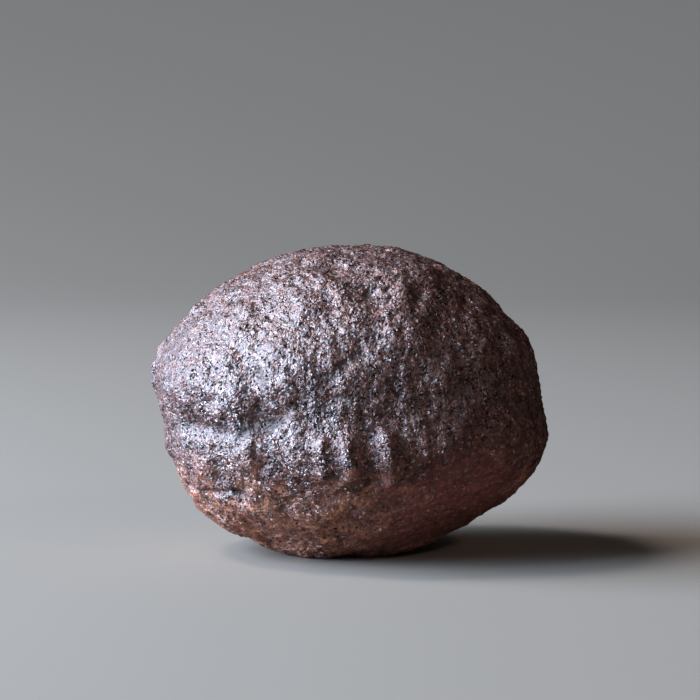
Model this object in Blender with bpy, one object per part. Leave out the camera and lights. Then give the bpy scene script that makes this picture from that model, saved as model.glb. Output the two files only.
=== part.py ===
"""A moqui marble: one iron-oxide-cemented sandstone concretion, as a single closed solid.

Metres, +Z up, with the broad front face towards -Y. The origin is the middle of the
bounding box's bottom, in the plane of the small flat spot that the stone rests on.
"""
import math

import bmesh
import bpy
from mathutils import Vector, noise

MM = 0.001

# Driving dimensions, in millimetres from the stone's centre.
# The front outline is a reach for each clock angle, in degrees from the right end over the top.
FRONT_OUTLINE = (
    (0, 22.5), (20, 21.8), (40, 20.3), (60, 19.2), (85, 18.4), (110, 18.8), (130, 19.8),
    (150, 21.5), (160, 22.6), (170, 23.5), (185, 22.1), (205, 21.8), (220, 21.7), (235, 20.0),
    (255, 19.0), (275, 18.3), (295, 19.1), (315, 20.2), (330, 21.9), (345, 23.5),
)
FRONT_DEPTH = 20.4
BACK_DEPTH = 21.0
ROUNDNESS = 2.1
FLAT_SPOT_DROP = 17.75

# The waist ridge runs round the whole stone at one level, with a fainter crest below it.
RIDGE_LEVEL = -4.2
RIDGE_HEIGHT = 0.65
RIDGE_HALF_WIDTH = 2.4
LOWER_CREST_LEVEL = -9.2
LOWER_CREST_HEIGHT = 0.3
LOWER_CREST_HALF_WIDTH = 1.8
RIDGE_SWAY = 0.8

# Lumps and wrinkles that cover the whole stone: spacing and height.
LUMP_SPACING = 4.8
LUMP_HEIGHT = 0.5
WRINKLE_SPACING = 2.6
WRINKLE_HEIGHT = 0.55
WRINKLE_STRETCH = 0.4
SMALL_LUMP_SPACING = 2.8
SMALL_LUMP_HEIGHT = 0.4
SWELL_SPACING = 15.0
SWELL_HEIGHT = 0.9

# Swellings and pits of their own: side (-1 front, 1 back), x, z, radius and height.
SWELLINGS = {
    "left bulge": (-1, -17.2, 4.2, 6.0, 0.75),
    "inner lobe of the bulge": (-1, -6.4, 4.6, 4.4, 0.65),
    "top left knob": (-1, -18.1, 11.0, 1.0, 0.8),
    "left edge knob, upper": (-1, -22.2, 6.6, 0.9, 0.35),
    "left edge knob, lower": (-1, -23.5, 4.0, 0.9, 0.4),
    "right edge swelling, upper": (-1, 20.8, 8.2, 1.5, 0.35),
    "right edge swelling, lower": (-1, 21.9, 4.6, 1.5, 0.35),
    "hollow right of the middle": (-1, 6.0, 2.5, 4.5, -0.45),
    "top pit": (-1, 2.4, 13.8, 1.2, -0.5),
    "top right pit": (-1, 7.9, 13.6, 1.4, -0.65),
    "top right hollow": (-1, 11.5, 11.0, 2.6, -0.35),
    "left lobe of the ridge": (-1, -17.0, -6.2, 2.8, 0.4),
    "saddle in the ridge": (-1, -7.4, -4.4, 3.0, -0.5),
    "dent above the saddle": (-1, -8.6, -2.2, 1.8, -0.35),
    "middle lobe of the ridge": (-1, 0.6, -5.0, 3.2, 0.9),
    "right lobe of the ridge": (-1, 6.3, -4.8, 2.8, 0.75),
    "lower left pit": (-1, -13.0, -9.4, 1.2, -0.6),
    "lower left lobe": (-1, -10.3, -11.0, 3.4, 0.45),
    "lower middle lobe": (-1, -2.5, -10.5, 3.2, 0.35),
    "back bulge": (1, 9.0, 4.5, 6.5, 0.9),
    "back lower bulge": (1, -9.0, -9.0, 5.0, 0.6),
    "back pit": (1, -5.0, 8.5, 1.6, -0.7),
    "back end pit": (1, 15.5, -1.0, 1.8, -0.5),
    "top hollow": (1, 4.0, 16.5, 3.0, -0.4),
}

# Upright ribs across the ridge on the front: x, z, half length and height.
RIB_HALF_WIDTH = 1.15
RIBS = (
    (-16.1, -4.8, 1.5, 0.45), (-11.6, -3.6, 1.5, 0.3), (-5.9, -3.9, 1.6, 0.4),
    (-3.2, -4.6, 1.8, 0.8), (-0.2, -4.8, 1.8, 0.7), (4.4, -4.6, 2.5, 1.0),
    (8.6, -4.4, 1.7, 0.5), (11.0, -4.2, 1.7, 0.45), (17.0, -3.4, 1.4, 0.45),
)

# Creases and small crests: side, half width, height, and the x and z of each point.
CRESTS = {
    "waist crease": (
        -1, 1.3, -0.6,
        ((-22.0, -2.8), (-16.0, -1.7), (-11.0, -0.9), (-7.1, 0.6), (-2.4, 1.9), (0.8, 3.6)),
    ),
    "crease between the lobes": (-1, 1.2, -0.6, ((-11.8, 6.5), (-11.2, 3.0), (-10.2, 0.4))),
    "shoulder": (-1, 3.0, 0.5, ((7.0, 15.5), (5.5, 8.0), (1.0, 3.4))),
    "top right crest": (-1, 0.9, 0.45, ((5.6, 13.0), (9.5, 15.9))),
    "top crest": (-1, 0.9, 0.35, ((-3.0, 15.8), (-1.6, 14.2))),
    "top left crest": (-1, 0.9, 0.35, ((-6.5, 13.4), (-4.0, 12.6))),
    "right ledge": (-1, 1.1, 0.4, ((13.8, 6.8), (18.0, 6.6), (21.6, 5.8))),
    "crease under the ledge": (-1, 1.2, -0.35, ((13.8, 5.0), (18.0, 4.8), (21.6, 4.0))),
    "crease over the facet": (-1, 1.3, -0.45, ((4.5, -8.2), (12.0, -8.4), (19.5, -8.0))),
    "back crease": (1, 1.5, -0.8, ((-20.0, 1.0), (-12.0, 3.0), (-3.0, 1.5), (6.0, -1.5))),
    "back upper crease": (1, 1.2, -0.5, ((4.0, 12.0), (11.0, 9.5), (16.0, 5.0))),
}

# The smoother facet under the ridge at the right, with its beds: centre x and z, and reach.
FACET_CENTRE = (12.0, -12.5)
FACET_REACH = 7.5
FACET_DROP = 0.35
FACET_SMOOTHING = 0.8
BED_SPACING = 2.1
BED_HEIGHT = 0.12

# Each face of the starting cube is cut into this many squares a side.
GRID = 28

STONE_NAME = "moqui_marble"
STONE_COLOUR = (0.075, 0.05, 0.042, 1.0)
STONE_ROUGHNESS = 0.5
STONE_METALLIC = 0.0


def clear_scene():
    for leftover in list(bpy.data.objects):
        bpy.data.objects.remove(leftover, do_unlink=True)


def smooth_step(low, high, value):
    """0 below low, 1 above high and an even rise between them."""
    share = min(max((value - low) / (high - low), 0.0), 1.0)
    return share * share * (3.0 - 2.0 * share)


def bell(distance, width):
    return math.exp(-((distance / width) ** 2))


def outline_reach(angle):
    """The front outline's reach at an angle in degrees, on one smooth closed curve."""
    count = len(FRONT_OUTLINE)
    angle = angle % 360.0
    after = next((i for i, (mark, _) in enumerate(FRONT_OUTLINE) if mark > angle), count)

    def knot(index):
        turns, place = divmod(index, count)
        mark, reach = FRONT_OUTLINE[place]
        return mark + 360.0 * turns, reach

    (a0, r0), (a1, r1), (a2, r2), (a3, r3) = (knot(after + step) for step in (-2, -1, 0, 1))
    span = a2 - a1
    share = (angle - a1) / span
    rise_in = (r2 - r0) / (a2 - a0) * span
    rise_out = (r3 - r1) / (a3 - a1) * span
    return (
        (2 * share**3 - 3 * share**2 + 1) * r1
        + (share**3 - 2 * share**2 + share) * rise_in
        + (3 * share**2 - 2 * share**3) * r2
        + (share**3 - share**2) * rise_out
    )


def plain_point(direction):
    """The point of the plain rounded form, with no lumps, in a direction from the centre."""
    across = math.hypot(direction.x, direction.z)
    reach = outline_reach(math.degrees(math.atan2(direction.z, direction.x)))
    depth = FRONT_DEPTH if direction.y < 0.0 else BACK_DEPTH
    total = (across / reach) ** ROUNDNESS + (abs(direction.y) / depth) ** ROUNDNESS
    return direction * total ** (-1.0 / ROUNDNESS)


def face_point(side, x, z):
    """The plain form's point at x and z, on its front (side -1) or its back (side 1)."""
    across = math.hypot(x, z)
    reach = outline_reach(math.degrees(math.atan2(z, x)))
    if across >= reach:
        return Vector((x, 0.0, z)) * (reach / across)
    depth = FRONT_DEPTH if side < 0 else BACK_DEPTH
    y = depth * (1.0 - (across / reach) ** ROUNDNESS) ** (1.0 / ROUNDNESS)
    return Vector((x, side * y, z))


def distance_to_path(point, path):
    nearest = math.inf
    for start, end in zip(path, path[1:]):
        run = end - start
        share = min(max((point - start).dot(run) / run.length_squared, 0.0), 1.0)
        nearest = min(nearest, (point - start - run * share).length)
    return nearest


def ripple(point, spacing, stretch=1.0):
    """Even noise between -1 and 1, its bumps a spacing apart and drawn out upright."""
    return noise.noise(Vector((point.x, point.y, point.z * stretch)) * 2.0 / spacing)


def domes(point, spacing):
    """Rounded lumps with creases between them, 0.5 at their tops."""
    nearest = noise.voronoi(point / spacing)[0][0]
    return 0.5 - 1.6 * nearest * nearest


def waist(point):
    """The ridge round the stone and the fainter crest below it."""
    level = point.z - RIDGE_SWAY * ripple(point, 22.0)
    ridge = RIDGE_HEIGHT * bell(level - RIDGE_LEVEL, RIDGE_HALF_WIDTH)
    crest = LOWER_CREST_HEIGHT * bell(level - LOWER_CREST_LEVEL, LOWER_CREST_HALF_WIDTH)
    return ridge * (0.8 + 0.5 * ripple(point, 18.0, 0.0)) + crest * (0.5 + ripple(point, 8.0))


def cover(point):
    """The lumps all over, drawn out into upright wrinkles near the waist."""
    near_waist = 1.0 - smooth_step(7.0, 12.0, abs(point.z - 1.0))
    wrinkles = WRINKLE_HEIGHT * ripple(point, WRINKLE_SPACING, WRINKLE_STRETCH)
    bumps = SMALL_LUMP_HEIGHT * ripple(point, SMALL_LUMP_SPACING)
    return (
        LUMP_HEIGHT * domes(point, LUMP_SPACING)
        + wrinkles * near_waist
        + bumps * (1.0 - 0.5 * near_waist)
    )


def place_features():
    """Sets the swellings, and the creases, crests and ribs, on the plain form."""
    swellings = [
        (face_point(side, x, z), radius, height)
        for side, x, z, radius, height in SWELLINGS.values()
    ]
    lines = [
        ([face_point(side, x, z) for x, z in places], width, height)
        for side, width, height, places in CRESTS.values()
    ]
    for x, z, half_length, height in RIBS:
        ends = [face_point(-1, x, z + half_length), face_point(-1, x, z - half_length)]
        lines.append((ends, RIB_HALF_WIDTH, height))
    return swellings, lines


def relief(point, swellings, lines):
    """How far the real surface stands out of the plain form at a point, in millimetres."""
    facet = bell((point - face_point(-1, *FACET_CENTRE)).length, FACET_REACH)
    out_of_sight = max(smooth_step(2.0, 12.0, point.y), smooth_step(11.0, 16.0, -point.z))
    height = (1.0 - FACET_SMOOTHING * facet) * (cover(point) + waist(point))
    height += SWELL_HEIGHT * ripple(point, SWELL_SPACING) * out_of_sight
    height += facet * (BED_HEIGHT * math.sin(math.tau * point.z / BED_SPACING) - FACET_DROP)
    height += sum(rise * bell((point - spot).length, radius) for spot, radius, rise in swellings)
    height += sum(rise * bell(distance_to_path(point, path), width) for path, width, rise in lines)
    return height


def make_material():
    material = bpy.data.materials.new("iron_stone")
    material.use_nodes = True
    shader = material.node_tree.nodes["Principled BSDF"]
    shader.inputs["Base Color"].default_value = STONE_COLOUR
    shader.inputs["Roughness"].default_value = STONE_ROUGHNESS
    shader.inputs["Metallic"].default_value = STONE_METALLIC
    material.diffuse_color = STONE_COLOUR
    return material


def make_stone(collection):
    """Rounds a subdivided cube into the stone and levels its flat spot."""
    swellings, lines = place_features()
    form = bmesh.new()
    bmesh.ops.create_cube(form, size=2.0)
    bmesh.ops.subdivide_edges(form, edges=form.edges[:], cuts=GRID - 1, use_grid_fill=True)
    for vertex in form.verts:
        even = [math.tan(value * math.pi / 4.0) for value in vertex.co]
        direction = Vector(even).normalized()
        point = plain_point(direction)
        point += direction * relief(point, swellings, lines)
        point.z = max(point.z, -FLAT_SPOT_DROP)
        vertex.co = point
    bmesh.ops.triangulate(form, faces=form.faces[:], quad_method="SHORT_EDGE")

    lows = [min(vertex.co[axis] for vertex in form.verts) for axis in range(3)]
    highs = [max(vertex.co[axis] for vertex in form.verts) for axis in range(3)]
    middle = Vector(((lows[0] + highs[0]) / 2.0, (lows[1] + highs[1]) / 2.0, lows[2]))
    for vertex in form.verts:
        vertex.co = (vertex.co - middle) * MM
    bmesh.ops.recalc_face_normals(form, faces=form.faces[:])

    mesh = bpy.data.meshes.new(STONE_NAME)
    form.to_mesh(mesh)
    form.free()
    mesh.shade_smooth()
    mesh.materials.append(make_material())
    stone = bpy.data.objects.new(STONE_NAME, mesh)
    collection.objects.link(stone)
    return stone


def main():
    clear_scene()
    collection = bpy.data.collections.new("Moqui marble")
    bpy.context.scene.collection.children.link(collection)
    make_stone(collection)


main()
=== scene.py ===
# %% [markdown]
# A moqui marble is a ball of sandstone whose outer sand is cemented by iron oxide. The
# crust is dark chocolate brown and as rough as coarse sandpaper, and its coated grains
# shine like dull metal where the light strikes them. This lesson dresses a plain solid
# of the stone's true size and shape with that crust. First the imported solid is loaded.

# %% Load the solid stone
import math

import bpy
import numpy as np
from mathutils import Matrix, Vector


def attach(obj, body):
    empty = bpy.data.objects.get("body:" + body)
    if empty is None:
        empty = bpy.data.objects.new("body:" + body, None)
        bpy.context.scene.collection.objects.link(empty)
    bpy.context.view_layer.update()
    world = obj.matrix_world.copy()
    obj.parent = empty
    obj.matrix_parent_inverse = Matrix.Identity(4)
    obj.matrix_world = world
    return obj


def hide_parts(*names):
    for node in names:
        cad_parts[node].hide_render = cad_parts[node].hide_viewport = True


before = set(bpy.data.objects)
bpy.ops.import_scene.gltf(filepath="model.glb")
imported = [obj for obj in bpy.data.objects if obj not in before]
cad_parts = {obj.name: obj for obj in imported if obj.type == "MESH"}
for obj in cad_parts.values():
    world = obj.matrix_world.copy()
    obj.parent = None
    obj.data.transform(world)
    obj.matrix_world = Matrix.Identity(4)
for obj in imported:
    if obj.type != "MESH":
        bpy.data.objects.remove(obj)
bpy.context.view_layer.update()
solid_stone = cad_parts["moqui_marble"]
MM = 0.001
MIDDLE_HEIGHT = 17.75 * MM
MIDDLE = Vector((0.0, 0.0, MIDDLE_HEIGHT))

# %% [markdown]
# Operators act on whatever is selected, and a fresh import is selected all over. So each
# step starts by picking the one object that it works on. A modifier is added, set and
# applied at once, which leaves a plain mesh that later steps can measure.

# %% Helpers for picking an object and applying a modifier
def pick(thing):
    for other in list(bpy.context.selected_objects):
        other.select_set(False)
    thing.select_set(True)
    bpy.context.view_layer.objects.active = thing


def apply_modifier(thing, kind, **settings):
    pick(thing)
    modifier = thing.modifiers.new(kind.lower(), kind)
    for name, value in settings.items():
        setattr(modifier, name, value)
    bpy.ops.object.modifier_apply(modifier=modifier.name)


def corners_of(thing):
    flat = np.empty(len(thing.data.vertices) * 3)
    thing.data.vertices.foreach_get("co", flat)
    return flat.reshape(-1, 3)


# %% [markdown]
# The solid has about nine thousand triangles, too few for sand. It could be subdivided as
# it is, but its facets would stay and its squares would stretch over the lumps. So a copy
# of it, with its loose triangles merged, turned to squares and rounded by a Subdivision
# Surface, only serves as a smooth guide for the fine skin.

# %% Make the smooth guide
MERGE_DISTANCE = 0.002 * MM
SQUARE_ANGLE = math.radians(60)
ROUNDINGS = 2

guide = solid_stone.copy()
guide.data = solid_stone.data.copy()
guide.parent = None
bpy.context.scene.collection.objects.link(guide)
pick(guide)
bpy.ops.object.mode_set(mode="EDIT")
bpy.ops.mesh.select_all(action="SELECT")
bpy.ops.mesh.remove_doubles(threshold=MERGE_DISTANCE)
bpy.ops.mesh.tris_convert_to_quads(face_threshold=SQUARE_ANGLE, shape_threshold=SQUARE_ANGLE)
bpy.ops.mesh.customdata_custom_splitnormals_clear()
bpy.ops.object.mode_set(mode="OBJECT")
apply_modifier(guide, "SUBSURF", levels=ROUNDINGS, render_levels=ROUNDINGS)
print("guide faces:", len(guide.data.polygons))

# %% [markdown]
# A ball from the menu would crowd its squares at two poles. The fine skin starts instead
# as a cube that is cut in two and rounded, seven times over. That gives nearly even
# squares of a quarter of a millimetre, and stays just under the 200,000 triangles that
# one piece may have. A Shrinkwrap then pulls each point straight in towards the middle
# until it meets the guide.

# %% Wrap a fine ball onto the guide
BALL_SIZE = 80 * MM
BALL_CUTS = 7

bpy.ops.object.select_all(action="DESELECT")
bpy.ops.mesh.primitive_cube_add(size=BALL_SIZE, location=MIDDLE)
stone = bpy.context.object
stone.name = "stone"
bpy.ops.object.mode_set(mode="EDIT")
for cut in range(BALL_CUTS):
    bpy.ops.mesh.select_all(action="SELECT")
    bpy.ops.mesh.subdivide(number_cuts=1)
    bpy.ops.transform.tosphere(value=1.0)
bpy.ops.object.mode_set(mode="OBJECT")
bpy.ops.object.transform_apply(location=True, rotation=True, scale=True)
apply_modifier(
    stone,
    "SHRINKWRAP",
    target=guide,
    wrap_method="PROJECT",
    use_negative_direction=True,
    use_positive_direction=False,
)
bpy.data.objects.remove(guide)
smooth_places = corners_of(stone)
towards = smooth_places - np.array(MIDDLE)
towards /= np.linalg.norm(towards, axis=1)[:, None]
print("fine squares:", len(stone.data.polygons))

# %% [markdown]
# Relief that has its own place on the stone, such as a rib or a pit, could be sculpted by
# hand. Here it is shaped by strokes of a soft brush in code, which can be changed and run
# again. Each point's share of the brush goes into a vertex group, and a Displace modifier
# without a texture lifts the skin by that share.

# %% Helpers for a soft brush
LEAST_SHARE = 0.01
PAST_THE_FRONT = 0.5 * MM
NOT_ZERO = 1e-12


def weigh(name, shares):
    group = stone.vertex_groups.new(name=name)
    for corner in np.flatnonzero(shares > LEAST_SHARE):
        group.add([int(corner)], float(shares[corner]), "REPLACE")
    return group


def lift(shares, height):
    group = weigh("brush", shares)
    apply_modifier(stone, "DISPLACE", strength=height, mid_level=0.0, vertex_group=group.name)
    stone.vertex_groups.remove(stone.vertex_groups["brush"])


def spot(x, z):
    """The front skin's point at x and z millimetres from the middle."""
    there = np.array((x * MM, MIDDLE.z + z * MM))
    away = np.linalg.norm(smooth_places[:, (0, 2)] - there, axis=1)
    away[smooth_places[:, 1] > PAST_THE_FRONT] = np.inf
    return smooth_places[np.argmin(away)]


def brush(path, half_width):
    """Each point's share of a soft stroke along a path, which may be one spot."""
    nearest = np.full(len(smooth_places), np.inf)
    for start, end in zip(path, path[1:] or path):
        run = end - start
        share = (smooth_places - start) @ run / max(run @ run, NOT_ZERO)
        foot = start + np.clip(share, 0, 1)[:, None] * run
        nearest = np.minimum(nearest, np.linalg.norm(smooth_places - foot, axis=1))
    return np.exp(-((nearest / half_width) ** 2))


# %% [markdown]
# The waist ridge is crossed by upright ribs, whose left flanks catch the window's light.
# The solid has their broad forms, and here each gets its crest. Small knobs break the
# left edge. A crease runs under the two lobes of the left bulge and up to the right, a
# cleft parts the lobes, and a thin crack runs into a pit at the lower left. Places are x
# and z in millimetres from the stone's middle. The ribs share one level, so each has only
# its x, and then its half length and its height.

# %% Brush on the ribs, knobs, pits and creases
RIB_LEVEL = -4.6
RIB_LEAN = 0.2
RIB_HALF_WIDTH = 0.85 * MM
RIBS = {
    -16.0: (1.4, 0.2),
    -11.4: (1.3, 0.15),
    -5.7: (1.5, 0.25),
    -2.9: (1.8, 0.5),
    0.0: (1.8, 0.6),
    4.5: (2.4, 0.7),
    8.6: (1.6, 0.3),
    11.0: (1.6, 0.3),
    17.2: (1.4, 0.3),
}
KNOBS = {(-18.0, 11.1): 0.35, (-22.3, 6.6): 0.3, (-23.3, 4.2): 0.3, (-23.4, 2.4): 0.25}
KNOB_RADIUS = 0.7 * MM
PITS = {(2.3, 13.7): -0.4, (7.8, 13.7): -0.45, (-12.8, -9.2): -0.4, (12.8, 3.6): -0.3}
PIT_RADIUS = 0.8 * MM
LOBE_CREASE = (
    (-20.1, -1.3),
    (-17.3, -1.6),
    (-12.9, -2.1),
    (-9.1, -0.9),
    (-6.2, 1.3),
    (-3.4, 3.9),
    (0.5, 7.0),
)
LOBE_CLEFT = ((-10.5, 5.0), (-9.7, 3.1), (-10.8, -0.9))
CREASE_HALF_WIDTH = 0.9 * MM
CRACK = ((-18.9, -9.3), (-16.6, -9.5), (-14.2, -9.1), (-12.8, -9.2))
CRACK_HALF_WIDTH = 0.35 * MM
CREASE_DEPTH = -0.35 * MM

for x, (half_length, height) in RIBS.items():
    top_end = spot(x - RIB_LEAN, RIB_LEVEL + half_length)
    low_end = spot(x + RIB_LEAN, RIB_LEVEL - half_length)
    lift(brush([top_end, low_end], RIB_HALF_WIDTH), height * MM)
for marks, radius in ((KNOBS, KNOB_RADIUS), (PITS, PIT_RADIUS)):
    for (x, z), height in marks.items():
        lift(brush([spot(x, z)], radius), height * MM)
for path, half_width in (
    (LOBE_CREASE, CREASE_HALF_WIDTH),
    (LOBE_CLEFT, CREASE_HALF_WIDTH),
    (CRACK, CRACK_HALF_WIDTH),
):
    lift(brush([spot(x, z) for x, z in path], half_width), CREASE_DEPTH)
print("ribs, knobs and pits:", len(RIBS), len(KNOBS), len(PITS))

# %% [markdown]
# The crust isn't equally rough all over. The facet at the lower right is smoother and
# redder, its red partly its own and partly painted warm bounced light, and there the beds
# of the old sandstone show as fine lines that rise a little to the right. They are a sine
# wave across the facet's face, bent a little so that no line is ruled. A vertex group
# holds how rough each place is, so that the noise that follows works less on the facet.

# %% Mark the facet and draw its beds
FACET_TOWARDS = Vector((12.0, -12.6, -12.5)).normalized()
FACET_REACH = math.radians(27)
FACET_ROUGHNESS_LEFT = 0.35
BED_SPACING = 0.95 * MM
BED_RISE = math.radians(12)
BED_DEPTH = -0.12 * MM
BED_WAVER = 0.35
WAVER_ACROSS = 2.3 * MM
WAVER_UPRIGHT = 1.7 * MM

facet_angle = np.arccos(np.clip(towards @ np.array(FACET_TOWARDS), -1, 1))
facet = np.exp(-((facet_angle / FACET_REACH) ** 4))
across = smooth_places[:, 0]
upright = smooth_places[:, 2]
across_beds = upright * math.cos(BED_RISE) - across * math.sin(BED_RISE)
waver = BED_WAVER * np.sin(across / WAVER_ACROSS) * np.sin(upright / WAVER_UPRIGHT)
bed = 0.5 + 0.5 * np.sin(math.tau * (across_beds / BED_SPACING + waver))
lift(facet * bed**2, BED_DEPTH)
weigh("rough", 1 - (1 - FACET_ROUGHNESS_LEFT) * facet)
print("points on the facet:", int((facet > 0.5).sum()))

# %% [markdown]
# The rest of the relief has no place of its own. It is laid on from coarse to fine, each
# layer by a Displace modifier with its own noise. It could be left to bumps in the
# material, but then the outline would stay smooth. Voronoi noise with a negative strength
# makes round cobbles with creases between them. The wrinkles are drawn out upright, as on
# the real stone, by reading their noise through a stretched empty.

# %% Lay on wrinkles, cobbles and sand
def noise_texture(name, kind, size, **settings):
    texture = bpy.data.textures.new(name, kind)
    texture.noise_scale = size
    for setting, value in settings.items():
        setattr(texture, setting, value)
    return texture


def roughen(texture, height, level=0.5, stretch=None):
    settings = {"texture": texture, "strength": height, "mid_level": level, "vertex_group": "rough"}
    helper = None
    if stretch:
        bpy.ops.object.empty_add()
        helper = bpy.context.object
        helper.scale = stretch
        bpy.context.view_layer.update()
        settings.update(texture_coords="OBJECT", texture_coords_object=helper)
    apply_modifier(stone, "DISPLACE", **settings)
    if helper:
        bpy.data.objects.remove(helper)


wrinkles = noise_texture("wrinkles", "CLOUDS", 1.4 * MM, noise_depth=1)
cobbles = noise_texture("cobbles", "VORONOI", 1.9 * MM, distance_metric="DISTANCE_SQUARED")
clusters = noise_texture("clusters", "CLOUDS", 0.7 * MM, noise_depth=2)
sand = noise_texture("sand", "VORONOI", 0.55 * MM, distance_metric="DISTANCE_SQUARED")
roughen(wrinkles, 0.38 * MM, stretch=(1, 1, 2.2))
roughen(cobbles, -0.24 * MM, level=0.3)
roughen(clusters, 0.2 * MM)
roughen(sand, -0.28 * MM, level=0.3)
print("layers of relief:", [layer.name for layer in (wrinkles, cobbles, clusters, sand)])

# %% [markdown]
# The stone rests on a small worn flat spot. Whatever the noise pushed below the table is
# pressed back up to it, so the flat is truly level and only its pits stay open. How far
# each point stands above or below the smooth form is kept as an attribute, because the
# hollows get painted shade and a duller sheen, and the raised grains are polished.

# %% Level the flat spot and keep the relief
places = corners_of(stone)
places[:, 2] = np.maximum(places[:, 2], 0.0)
stone.data.vertices.foreach_set("co", places.ravel())
relief = ((places - smooth_places) * towards).sum(axis=1) / MM
for name, values in (("relief", relief), ("facet", facet)):
    store = stone.data.attributes.new(name, "FLOAT", "POINT")
    store.data.foreach_set("value", values)
stone.vertex_groups.clear()
pick(stone)
bpy.ops.object.shade_smooth()
print("relief in mm from", round(relief.min(), 2), "to", round(relief.max(), 2))

# %% [markdown]
# The crust's colour could be painted on an unwrapped picture, but a ball can't be
# unwrapped without a seam. So nodes work it out from the stone's own coordinates, which
# have none. A small class keeps the node work short. It starts as a blank material, and
# its first methods add a node, feed its inputs, and reckon with what other nodes give.

# %% Helpers for adding and linking nodes
class Blank:
    def __init__(self, name):
        self.material = bpy.data.materials.new(name)
        self.material.use_nodes = True
        self.tree = self.material.node_tree
        self.shader = self.tree.nodes["Principled BSDF"]
        self.place = self.add("ShaderNodeTexCoord").outputs["Object"]

    def add(self, kind, **settings):
        node = self.tree.nodes.new(kind)
        for name, value in settings.items():
            setattr(node, name, value)
        return node

    def feed(self, value, socket):
        """Link a socket to another's output, or set it to a plain value or a colour."""
        if isinstance(value, bpy.types.NodeSocket):
            self.tree.links.new(value, socket)
        elif isinstance(value, tuple) and len(socket.default_value) == 4:
            socket.default_value = (*value, 1.0)
        else:
            socket.default_value = value

    def between(self, value, low, high, start=0.0, end=1.0):
        """A soft step from start, where the value is low, to end, where it is high."""
        node = self.add("ShaderNodeMapRange", interpolation_type="SMOOTHSTEP")
        for name, setting in zip(
            ("Value", "From Min", "From Max", "To Min", "To Max"), (value, low, high, start, end)
        ):
            self.feed(setting, node.inputs[name])
        return node.outputs["Result"]

    def maths(self, operation, *values):
        node = self.add("ShaderNodeMath", operation=operation)
        for value, socket in zip(values, node.inputs):
            self.feed(value, socket)
        return node.outputs["Value"]

    def vector(self, operation, *values, scale=None):
        node = self.add("ShaderNodeVectorMath", operation=operation)
        for value, socket in zip(values, node.inputs):
            self.feed(value, socket)
        if scale is not None:
            self.feed(scale, node.inputs["Scale"])
        return node.outputs["Vector"]

    def blend(self, share, first, second, kind="MIX"):
        node = self.add("ShaderNodeMix", data_type="RGBA", blend_type=kind)
        self.feed(share, node.inputs[0])
        self.feed(first, node.inputs[6])
        self.feed(second, node.inputs[7])
        return node.outputs[2]

    def channels(self, value, kind="Color"):
        node = self.add("ShaderNodeSeparate" + kind)
        self.feed(value, node.inputs[0])
        return node.outputs


# %% [markdown]
# A finish also needs patterns. Noise and cells take their size in metres, as it would be
# measured on the stone, and not as a scale. An attribute reads what was stored on the
# mesh, and a bump tilts the shading as if the surface rose by a real depth.

# %% Helpers for patterns and bumps
class Finish(Blank):
    def noise(self, size, detail=3.0, roughness=0.5):
        node = self.add("ShaderNodeTexNoise")
        self.feed(self.place, node.inputs["Vector"])
        self.feed(1 / size, node.inputs["Scale"])
        self.feed(detail, node.inputs["Detail"])
        self.feed(roughness, node.inputs["Roughness"])
        return node.outputs["Fac"]

    def cells(self, size, **settings):
        node = self.add("ShaderNodeTexVoronoi", **settings)
        self.feed(self.place, node.inputs["Vector"])
        self.feed(1 / size, node.inputs["Scale"])
        return node

    def attribute(self, name):
        return self.add("ShaderNodeAttribute", attribute_name=name).outputs["Fac"]

    def bump(self, height, depth, normal):
        node = self.add("ShaderNodeBump")
        self.feed(height, node.inputs["Height"])
        self.feed(depth, node.inputs["Distance"])
        self.feed(normal, node.inputs["Normal"])
        return node.outputs["Normal"]


# %% [markdown]
# The crust is built of sand grains 0.4 mm across, and the iron coating on them breaks
# into finer chips. Both come from Voronoi noise, which gives every cell a random colour.
# Its three channels serve as three dice that are thrown once for each grain.

# %% Lay out the grains and chips
GRAIN = 0.42 * MM
CHIP = 0.26 * MM

crust = Finish("iron_crust")
grains = crust.cells(GRAIN)
grain_edge = crust.cells(GRAIN, feature="DISTANCE_TO_EDGE").outputs["Distance"]
chips = crust.cells(CHIP)
grain_dice = crust.channels(grains.outputs["Color"])
chip_dice = crust.channels(chips.outputs["Color"])
relief_here = crust.attribute("relief")
facet_here = crust.attribute("facet")

# %% [markdown]
# Dark chocolate brown is the ground colour, and lighter brown comes in on some cobbles.
# The lower half, whose border strays up and down, is earthier, and the facet is redder. In
# both, part of the colour is the crust's own and part is painted warm light bounced up
# from below.
# Rust stains the lower half in patches, and hardly touches the facet. Each colour is
# blended over the last one, by a share that is 0 where it is absent. Where a patch lies
# is the range of its noise over which that share rises.

# %% Colour the ground, the facet and the rust
DARK_BROWN = (0.070, 0.022, 0.016)
LIGHT_BROWN = (0.215, 0.078, 0.056)
BROWN_PATCH = 1.1 * MM
BROWN_WHERE = (0.35, 0.68)
# Painted light: part of this earthy brown stands in for warm light bounced up onto the lower half.
EARTH_AND_BOUNCE_BROWN = (0.560, 0.190, 0.120)
EARTH_AND_BOUNCE_STRENGTH = 0.65
LOWER_HALF_STARTS = 13.5 * MM
LOWER_HALF_IS_FULL = 4.5 * MM
LOWER_BORDER_PATCH = 3.5 * MM
LOWER_BORDER_STRAYS = 3.5 * MM
# Painted light: part of the facet's red stands in for warm light bounced up onto it.
FACET_RED_AND_BOUNCE = (0.340, 0.045, 0.024)
FACET_RED_AND_BOUNCE_STRENGTH = 0.85
RUST_BROWN = (0.620, 0.220, 0.095)
RUST_STRENGTH = 0.8
RUST_PATCH = 2.4 * MM
RUST_WHERE = (0.46, 0.60)
RUST_ON_FACET = 0.15

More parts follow.
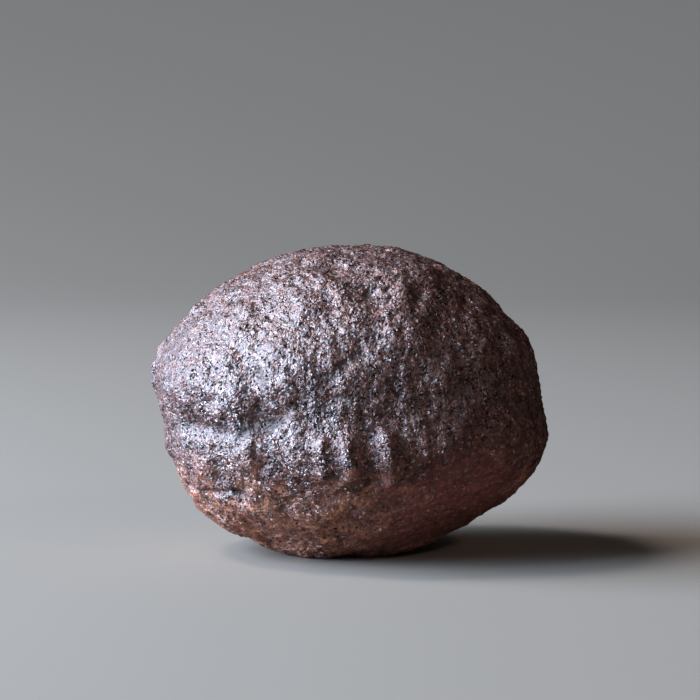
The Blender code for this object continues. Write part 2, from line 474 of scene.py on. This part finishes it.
brown_share = crust.between(crust.noise(BROWN_PATCH), *BROWN_WHERE)
colour = crust.blend(brown_share, DARK_BROWN, LIGHT_BROWN)
height_here = crust.channels(crust.place, "XYZ")["Z"]
straying = crust.between(crust.noise(LOWER_BORDER_PATCH, 4.0), 0.3, 0.7, -LOWER_BORDER_STRAYS, LOWER_BORDER_STRAYS)
strayed_height = crust.maths("ADD", height_here, straying)
lower_half = crust.between(strayed_height, LOWER_HALF_STARTS, LOWER_HALF_IS_FULL)
# The lower half gets its earthy brown, partly painted warm bounced light.
colour = crust.blend(crust.maths("MULTIPLY", lower_half, EARTH_AND_BOUNCE_STRENGTH), colour, EARTH_AND_BOUNCE_BROWN)
# The facet turns redder, partly painted warm bounced light.
colour = crust.blend(crust.maths("MULTIPLY", facet_here, FACET_RED_AND_BOUNCE_STRENGTH), colour, FACET_RED_AND_BOUNCE)
patches = crust.between(crust.noise(RUST_PATCH, 5.0, 0.65), *RUST_WHERE, 0.0, RUST_STRENGTH)
rust = crust.maths("MULTIPLY", lower_half, patches)
rust = crust.maths("MULTIPLY", rust, crust.between(facet_here, 0.2, 0.9, 1.0, RUST_ON_FACET))
colour = crust.blend(rust, colour, RUST_BROWN)
print("nodes in the crust so far:", len(crust.tree.nodes))

# %% [markdown]
# Single chips now get a colour of their own by a throw of the dice. A few pale ones are
# bare grains that have lost their iron coating and also painted glints, and bright orange
# ones are common among the rust and rare elsewhere. Each grain is a little lighter or
# darker than the next, and painted shade darkens the hollows and the gaps between grains.

# %% Colour the single grains
# Painted glints: the pale grains stand partly for bare quartz and partly for glints painted into
# the colour.
BARE_GRAIN_AND_GLINT = (0.420, 0.300, 0.270)
BARE_AND_GLINT_CHANCE = 0.06
BARE_AND_GLINT_STRENGTH = 0.8
RUST_ORANGE = (0.640, 0.260, 0.110)
ORANGE_IN_RUST = 0.14
ORANGE_ELSEWHERE = 0.003
ORANGE_STRENGTH = 0.7
TONE_SPREAD = 0.35
HOLLOW_SHADE_TONE = 0.55
GAP_SHADE_TONE = 0.7

bare_and_glint = crust.maths("GREATER_THAN", chip_dice["Green"], 1 - BARE_AND_GLINT_CHANCE)
colour = crust.blend(crust.maths("MULTIPLY", bare_and_glint, BARE_AND_GLINT_STRENGTH), colour, BARE_GRAIN_AND_GLINT)
throw_to_beat = crust.between(rust, 0.0, 1.0, 1 - ORANGE_ELSEWHERE, 1 - ORANGE_IN_RUST)
rusted = crust.maths("GREATER_THAN", chip_dice["Red"], throw_to_beat)
colour = crust.blend(crust.maths("MULTIPLY", rusted, ORANGE_STRENGTH), colour, RUST_ORANGE)
tone = crust.between(grain_dice["Green"], 0.0, 1.0, 1 - TONE_SPREAD, 1 + TONE_SPREAD)
# Painted shade: colour is darkened in the hollows of the relief and in the gaps between grains.
painted_hollow_shade = crust.between(relief_here, -0.5, 0.1, HOLLOW_SHADE_TONE, 1.0)
painted_gap_shade = crust.between(grain_edge, 0.0, 0.15, GAP_SHADE_TONE, 1.0)
for shade in (tone, painted_hollow_shade, painted_gap_shade):
    colour = crust.blend(1.0, colour, shade, "MULTIPLY")
crust.feed(colour, crust.shader.inputs["Base Color"])
print("nodes in the crust so far:", len(crust.tree.nodes))

# %% [markdown]
# The crust looks metallic, but it is no metal: iron oxide is a mineral that reflects more
# strongly than plain quartz. So the shader's metal stays off and its index of refraction
# is high. Most of the coating has a broad sheen with a slight red tint, and one chip in
# five is glassy. The facet, the rust and the hollows are duller, and so, by a little, is
# the whole lower half.

# %% Give the crust its sheen
COATING_INDEX = 2.4
REDDISH = (1.0, 0.88, 0.86)
SHEEN = 0.52
DULL = 0.66
GLASSY_SHARE = 0.20
GLASSY_LESS = -0.30
HOLLOW_DULLNESS = 0.8
RUST_DULLNESS = 0.7
LOWER_DULLNESS = 0.3

hollow_dullness = crust.between(relief_here, 0.0, -0.5, 0.0, HOLLOW_DULLNESS)
dullness = crust.maths("MAXIMUM", facet_here, hollow_dullness)
for share, strength in ((rust, RUST_DULLNESS), (lower_half, LOWER_DULLNESS)):
    dullness = crust.maths("MAXIMUM", dullness, crust.maths("MULTIPLY", share, strength))
shine = crust.maths("SUBTRACT", 1.0, dullness)
sheen = crust.between(dullness, 0.0, 1.0, SHEEN, DULL)
glassy = crust.maths("GREATER_THAN", chip_dice["Blue"], 1 - GLASSY_SHARE)
sheen = crust.maths("MULTIPLY_ADD", crust.maths("MULTIPLY", glassy, shine), GLASSY_LESS, sheen)
crust.feed(sheen, crust.shader.inputs["Roughness"])
crust.feed(COATING_INDEX, crust.shader.inputs["IOR"])
crust.feed(REDDISH, crust.shader.inputs["Specular Tint"])
print("nodes in the crust so far:", len(crust.tree.nodes))

# %% [markdown]
# The mesh is too coarse to shape each grain, so the shading normal is tipped at random
# from grain to grain, and again from chip to chip. Most tip a little and a few tip a
# lot, which gives the sharp single glints on the dark side. Small bumps then cut the
# gaps between the grains, round their tops and crinkle their coating.

# %% Tip the grains so that they glint
GRAIN_TIPS = (0.09, 0.9)
CHIP_TIPS = (0.09, 4.6)
RARITY = 6.0
CALM_ON_FACET = -0.6
EDGE_BUMP = 0.03 * MM
DOME = 0.34 * MM
DOME_BUMP = 0.09 * MM
CRINKLE = 0.35 * MM
CRINKLE_BUMP = 0.06 * MM

calm = crust.maths("MULTIPLY_ADD", facet_here, CALM_ON_FACET, 1.0)


def tipped(normal, cells, least, most):
    """The normal turned by a random amount in each cell, seldom by much."""
    chance = crust.add("ShaderNodeTexWhiteNoise", noise_dimensions="3D")
    crust.feed(cells.outputs["Position"], chance.inputs["Vector"])
    rare = crust.maths("POWER", chance.outputs["Value"], RARITY)
    amount = crust.maths("MULTIPLY_ADD", rare, most, least)
    amount = crust.maths("MULTIPLY", amount, calm)
    aside = crust.vector("SUBTRACT", cells.outputs["Color"], (0.5, 0.5, 0.5))
    turned = crust.vector("ADD", normal, crust.vector("SCALE", aside, scale=amount))
    return crust.vector("NORMALIZE", turned)


surface = crust.add("ShaderNodeNewGeometry").outputs["Normal"]
surface = tipped(surface, grains, *GRAIN_TIPS)
surface = tipped(surface, chips, *CHIP_TIPS)
surface = crust.bump(crust.between(grain_edge, 0.0, 0.25), EDGE_BUMP, surface)
from_middle = crust.cells(DOME).outputs["Distance"]
surface = crust.bump(crust.maths("POWER", from_middle, 2.0), -DOME_BUMP, surface)
surface = crust.bump(crust.noise(CRINKLE, 4.0, 0.7), CRINKLE_BUMP, surface)
crust.feed(surface, crust.shader.inputs["Normal"])
print("nodes in the finished crust:", len(crust.tree.nodes))

# %% [markdown]
# The skin gets the crust as its only material. The solid that it stands in for is hidden,
# and the skin is hung on the body that carries it. The stone is one piece, so that is the
# root.

# %% Put the crust on the skin and hang it on the frame
stone.data.materials.clear()
stone.data.materials.append(crust.material)
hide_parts("moqui_marble")
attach(stone, "root")
print("the stone wears:", [material.name for material in stone.data.materials])

# %% [markdown]
# The stone stands in a studio cove: a wide pale floor whose edge curves up into a wall,
# so that no horizon shows. It could be a bent sheet, but a round one serves every side.
# It is an open cylinder with its lower rim bevelled. The paper is a warm white, which
# looks plain grey in the bluish window light. Farther out it is nearly black at the
# left, where the window would burn it out, and at the right, so that it throws no light
# on the shaded side. The grains don't mirror it.

# %% Build the pale cove
COVE_RADIUS = 1.1
COVE_HEIGHT = 1.1
COVE_BEND = 0.7
PALE = (0.32, 0.27, 0.22)
BLACK = (0.02, 0.02, 0.02)
LEFT_FADE = (-0.46, -0.14)
RIGHT_FADE = (0.15, 0.50)
PAPER_ROUGHNESS = 0.9

bpy.ops.object.select_all(action="DESELECT")
bpy.ops.mesh.primitive_cylinder_add(
    vertices=96, radius=COVE_RADIUS, depth=COVE_HEIGHT, location=(0, 0, COVE_HEIGHT / 2)
)
cove = bpy.context.object
cove.name = "cove"
bpy.ops.object.transform_apply(location=True)
bpy.ops.object.mode_set(mode="EDIT")
bpy.ops.mesh.select_mode(type="FACE")
bpy.ops.mesh.select_all(action="DESELECT")
bpy.ops.object.mode_set(mode="OBJECT")
for face in cove.data.polygons:
    face.select = face.normal.z > 0.9
bpy.ops.object.mode_set(mode="EDIT")
bpy.ops.mesh.delete(type="FACE")
bpy.ops.mesh.select_all(action="SELECT")
bpy.ops.mesh.flip_normals()
bpy.ops.object.mode_set(mode="OBJECT")
apply_modifier(cove, "BEVEL", width=COVE_BEND, segments=24, limit_method="ANGLE")
bpy.ops.object.shade_smooth()

paper = Finish("pale_paper")
to_the_right = paper.channels(paper.place, "XYZ")["X"]
graded = paper.blend(paper.between(to_the_right, *LEFT_FADE), BLACK, PALE)
graded = paper.blend(paper.between(to_the_right, *RIGHT_FADE), graded, BLACK)
paper.feed(graded, paper.shader.inputs["Base Color"])
paper.feed(PAPER_ROUGHNESS, paper.shader.inputs["Roughness"])
cove.data.materials.append(paper.material)
cove.visible_glossy = False
print("cove faces:", len(cove.data.polygons))

# %% [markdown]
# The photograph looks almost level at the stone, from about six degrees above, with a
# long lens. The camera is placed so that a millimetre of stone covers as many pixels as
# it does there, and so that the stone's middle falls on the same row of pixels.

# %% Place the camera
PHOTO_SIDE = 700
PHOTO_PIXELS_PER_MM = 8.43
MIDDLE_ROW_IN_PHOTO = 401
CAMERA_TILT = math.radians(6)
CAMERA_DISTANCE = 400 * MM
NEAREST_SEEN = 0.01
FARTHEST_SEEN = 20.0

lens = bpy.data.cameras.new("camera")
camera = bpy.data.objects.new("camera", lens)
bpy.context.scene.collection.objects.link(camera)
frame_width = PHOTO_SIDE / PHOTO_PIXELS_PER_MM * MM
lens.lens = lens.sensor_width * CAMERA_DISTANCE / frame_width
lens.clip_start = NEAREST_SEEN
lens.clip_end = FARTHEST_SEEN
back = Vector((0.0, -math.cos(CAMERA_TILT), math.sin(CAMERA_TILT)))
up = Vector((0.0, math.sin(CAMERA_TILT), math.cos(CAMERA_TILT)))
camera.location = MIDDLE + back * CAMERA_DISTANCE
rows_below = MIDDLE_ROW_IN_PHOTO - PHOTO_SIDE / 2
aim = MIDDLE + up * rows_below / PHOTO_PIXELS_PER_MM * MM
camera.rotation_euler = (aim - camera.location).to_track_quat("-Z", "Y").to_euler()
bpy.context.scene.camera = camera
print("lens in mm:", round(lens.lens))

# %% [markdown]
# The photograph is lit by a tall window at the left. A large soft bluish panel stands
# there. A small weak one above it brightens the top as far as the crest that runs down
# the stone's shoulder. A small warm lamp at the front right picks out single grains on
# the shaded side. Each panel is placed by its direction from the stone's middle and its
# distance in metres, and its power is in watts. The camera doesn't see the panels.

# %% Set the studio lights
def soft_panel(name, direction, distance, size, power, colour):
    light = bpy.data.lights.new(name, "AREA")
    light.shape = "RECTANGLE"
    light.size, light.size_y = size
    light.energy = power
    light.color = colour
    panel = bpy.data.objects.new(name, light)
    bpy.context.scene.collection.objects.link(panel)
    panel.visible_camera = False
    panel.location = MIDDLE + Vector(direction).normalized() * distance
    panel.rotation_euler = Vector(direction).to_track_quat("Z", "Y").to_euler()


soft_panel(
    "window",
    direction=(-0.95, -0.12, 0.30),
    distance=0.62,
    size=(0.62, 0.66),
    power=22.3,
    colour=(0.57, 0.75, 1.0),
)
soft_panel(
    "overhead",
    direction=(-0.60, 0.10, 0.90),
    distance=0.80,
    size=(0.16, 0.16),
    power=2.5,
    colour=(1.0, 0.95, 0.96),
)
soft_panel(
    "small lamp",
    direction=(0.55, -0.60, 0.55),
    distance=0.90,
    size=(0.08, 0.08),
    power=0.55,
    colour=(1.0, 0.80, 0.74),
)
print("panels:", [light.name for light in bpy.data.lights])

# %% [markdown]
# A faint even light from all round keeps the deepest shade from going quite black. The
# Standard view shows colours as they are, without the softer contrast of the default.

# %% Add the faint light of the room
ROOM_COLOUR = (0.65, 0.60, 0.58, 1.0)
ROOM_STRENGTH = 0.01

room = bpy.data.worlds.new("studio")
bpy.context.scene.world = room
room.use_nodes = True
room_light = room.node_tree.nodes["Background"]
room_light.inputs["Color"].default_value = ROOM_COLOUR
room_light.inputs["Strength"].default_value = ROOM_STRENGTH
bpy.context.scene.view_settings.view_transform = "Standard"
print("view:", bpy.context.scene.view_settings.view_transform)
